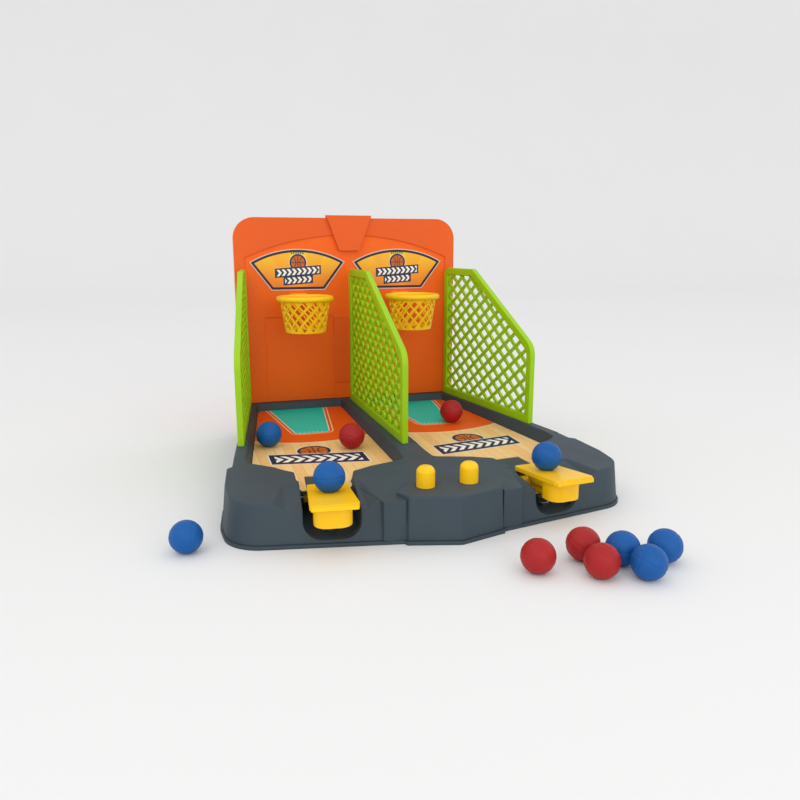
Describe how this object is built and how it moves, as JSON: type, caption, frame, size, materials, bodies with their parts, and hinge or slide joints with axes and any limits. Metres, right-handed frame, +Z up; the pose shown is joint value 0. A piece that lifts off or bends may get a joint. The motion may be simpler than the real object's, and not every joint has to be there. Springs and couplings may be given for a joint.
{
  "type": "tabletop basketball game",
  "caption": "Two-lane tabletop basketball game with finger launchers, hoops on an orange backboard, green net panels and loose balls.",
  "frame": {"origin": "on the table under the middle of the base's foot", "axes": "+X to the player's right, +Y away from the player towards the backboard, +Z up"},
  "size_m": [0.3269, 0.4222, 0.2164],
  "materials": {
    "slate_plastic": "satin moulded",
    "orange_plastic": "satin moulded",
    "yellow_plastic": "glossy moulded",
    "green_plastic": "glossy moulded",
    "blue_plastic": "glossy moulded",
    "red_plastic": "glossy moulded",
    "printed_court": "printed film",
    "printed_label": "printed film",
    "zinc_steel": "zinc plated"
  },
  "bodies": {
    "base": {"base_shell": "slate_plastic", "bottom_cover": "slate_plastic", "cover_screws": "zinc_steel", "left_court_sheet": "printed_court", "right_court_sheet": "printed_court", "backboard": "orange_plastic", "left_label": "printed_label", "right_label": "printed_label", "left_hoop": "yellow_plastic", "right_hoop": "yellow_plastic", "left_net_panel": "green_plastic", "centre_net_panel": "green_plastic", "right_net_panel": "green_plastic", "left_pivot_pin": "zinc_steel", "right_pivot_pin": "zinc_steel", "left_launcher_spring": "zinc_steel", "right_launcher_spring": "zinc_steel", "left_button_spring": "zinc_steel", "right_button_spring": "zinc_steel"},
    "left_launcher_body": {"left_launcher": "yellow_plastic"},
    "right_launcher_body": {"right_launcher": "yellow_plastic"},
    "left_button_body": {"left_button": "yellow_plastic"},
    "right_button_body": {"right_button": "yellow_plastic"},
    "left_launcher_ball_body": {"left_launcher_ball": "blue_plastic"},
    "right_launcher_ball_body": {"right_launcher_ball": "blue_plastic"},
    "left_court_blue_ball_body": {"left_court_blue_ball": "blue_plastic"},
    "left_court_red_ball_body": {"left_court_red_ball": "red_plastic"},
    "right_court_red_ball_body": {"right_court_red_ball": "red_plastic"},
    "table_red_ball_1_body": {"table_red_ball_1": "red_plastic"},
    "table_red_ball_2_body": {"table_red_ball_2": "red_plastic"},
    "table_red_ball_3_body": {"table_red_ball_3": "red_plastic"},
    "table_blue_ball_1_body": {"table_blue_ball_1": "blue_plastic"},
    "table_blue_ball_2_body": {"table_blue_ball_2": "blue_plastic"},
    "table_blue_ball_3_body": {"table_blue_ball_3": "blue_plastic"},
    "table_blue_ball_4_body": {"table_blue_ball_4": "blue_plastic"}
  },
  "joints": [
    {"name": "right_launcher_press", "type": "hinge", "parent": "base", "child": "right_launcher_body", "pos_m": [0.07425, -0.0903, 0.015], "axis": [0.9945, 0.1045, 0], "range_deg": [0, 7], "stiffness_Nm_per_rad": 0.3, "springref_deg": -8.59, "deforming": ["right_launcher_spring"]},
    {"name": "right_button_press", "type": "slide", "parent": "base", "child": "right_button_body", "axis": [0, 0, -1], "range_m": [0, 0.005], "stiffness_N_per_m": 120, "springref_m": -0.004, "deforming": ["right_button_spring"]},
    {"name": "right_launcher_ball_lift", "type": "slide", "parent": "right_launcher_body", "child": "right_launcher_ball_body", "axis": [0, 0, 1], "range_m": [0, 0.05]},
    {"name": "left_launcher_press", "type": "hinge", "parent": "base", "child": "left_launcher_body", "pos_m": [-0.07425, -0.0903, 0.015], "axis": [0.9945, -0.1045, 0], "range_deg": [0, 7], "stiffness_Nm_per_rad": 0.3, "springref_deg": -8.59, "deforming": ["left_launcher_spring"]},
    {"name": "left_button_press", "type": "slide", "parent": "base", "child": "left_button_body", "axis": [0, 0, -1], "range_m": [0, 0.005], "stiffness_N_per_m": 120, "springref_m": -0.004, "deforming": ["left_button_spring"]},
    {"name": "left_launcher_ball_lift", "type": "slide", "parent": "left_launcher_body", "child": "left_launcher_ball_body", "axis": [0, 0, 1], "range_m": [0, 0.05]},
    {"name": "left_court_blue_ball_roll", "type": "slide", "parent": "base", "child": "left_court_blue_ball_body", "axis": [0, 0.9998, 0.0209], "range_m": [0, 0.02]},
    {"name": "left_court_red_ball_roll", "type": "slide", "parent": "base", "child": "left_court_red_ball_body", "axis": [0, 0.9998, 0.0209], "range_m": [0, 0.05]},
    {"name": "right_court_red_ball_roll", "type": "slide", "parent": "base", "child": "right_court_red_ball_body", "axis": [0, 0.9998, 0.0209], "range_m": [0, 0.05]},
    {"name": "table_red_ball_1_lift", "type": "slide", "parent": "base", "child": "table_red_ball_1_body", "axis": [0, 0, 1], "range_m": [0, 0.04]},
    {"name": "table_red_ball_2_lift", "type": "slide", "parent": "base", "child": "table_red_ball_2_body", "axis": [0, 0, 1], "range_m": [0, 0.04]},
    {"name": "table_red_ball_3_lift", "type": "slide", "parent": "base", "child": "table_red_ball_3_body", "axis": [0, 0, 1], "range_m": [0, 0.04]},
    {"name": "table_blue_ball_1_lift", "type": "slide", "parent": "base", "child": "table_blue_ball_1_body", "axis": [0, 0, 1], "range_m": [0, 0.04]},
    {"name": "table_blue_ball_2_lift", "type": "slide", "parent": "base", "child": "table_blue_ball_2_body", "axis": [0, 0, 1], "range_m": [0, 0.04]},
    {"name": "table_blue_ball_3_lift", "type": "slide", "parent": "base", "child": "table_blue_ball_3_body", "axis": [0, 0, 1], "range_m": [0, 0.04]},
    {"name": "table_blue_ball_4_lift", "type": "slide", "parent": "base", "child": "table_blue_ball_4_body", "axis": [0, 0, 1], "range_m": [0, 0.04]}
  ]
}
